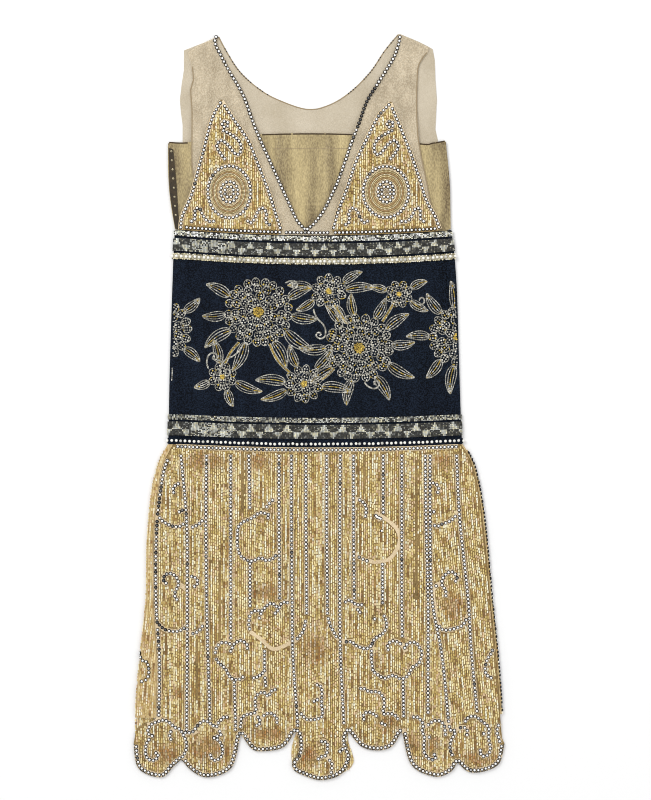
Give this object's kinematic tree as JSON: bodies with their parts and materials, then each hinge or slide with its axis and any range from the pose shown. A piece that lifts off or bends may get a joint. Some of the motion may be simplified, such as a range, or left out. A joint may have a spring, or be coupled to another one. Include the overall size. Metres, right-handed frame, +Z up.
{
  "type": "evening gown",
  "caption": "Sleeveless beaded evening gown laid flat, with a deep V neck over a gold silk under-bodice, a navy waist band between woven trims and a beaded skirt with a scalloped hem.",
  "frame": {"origin": "on the underside, at the middle of the gown's width and length as it lies flat", "axes": "+X to the right as seen from above, +Y towards the shoulders, +Z up from the surface through the front of the gown"},
  "size_m": [0.538, 1.083, 0.0101],
  "materials": {
    "chiffon": "sheer matte silk chiffon",
    "gold_silk": "satin",
    "navy_crepe": "matte crepe, embroidered",
    "bugle_beads": "net closely sewn with glass beads and stones",
    "beaded_mesh_back": "beaded net",
    "metal_trim": "woven metal thread",
    "bead_trim": "tape sewn with round white beads",
    "dark_placket": "matte silk"
  },
  "bodies": {
    "root": {"bodice_back": "chiffon", "bodice_front": "chiffon", "under_bodice_back": "gold_silk", "under_bodice_front": "gold_silk", "side_placket": "dark_placket", "beaded_point_left": "bugle_beads", "beaded_point_right": "bugle_beads", "band_back": "navy_crepe", "band_front": "navy_crepe", "trim_top_narrow": "metal_trim", "trim_top_wide": "metal_trim", "trim_top_beads": "bead_trim", "trim_low_narrow": "metal_trim", "trim_low_wide": "metal_trim", "trim_low_beads": "bead_trim", "skirt_back": "beaded_mesh_back", "skirt_front": "bugle_beads"}
  },
  "joints": []
}
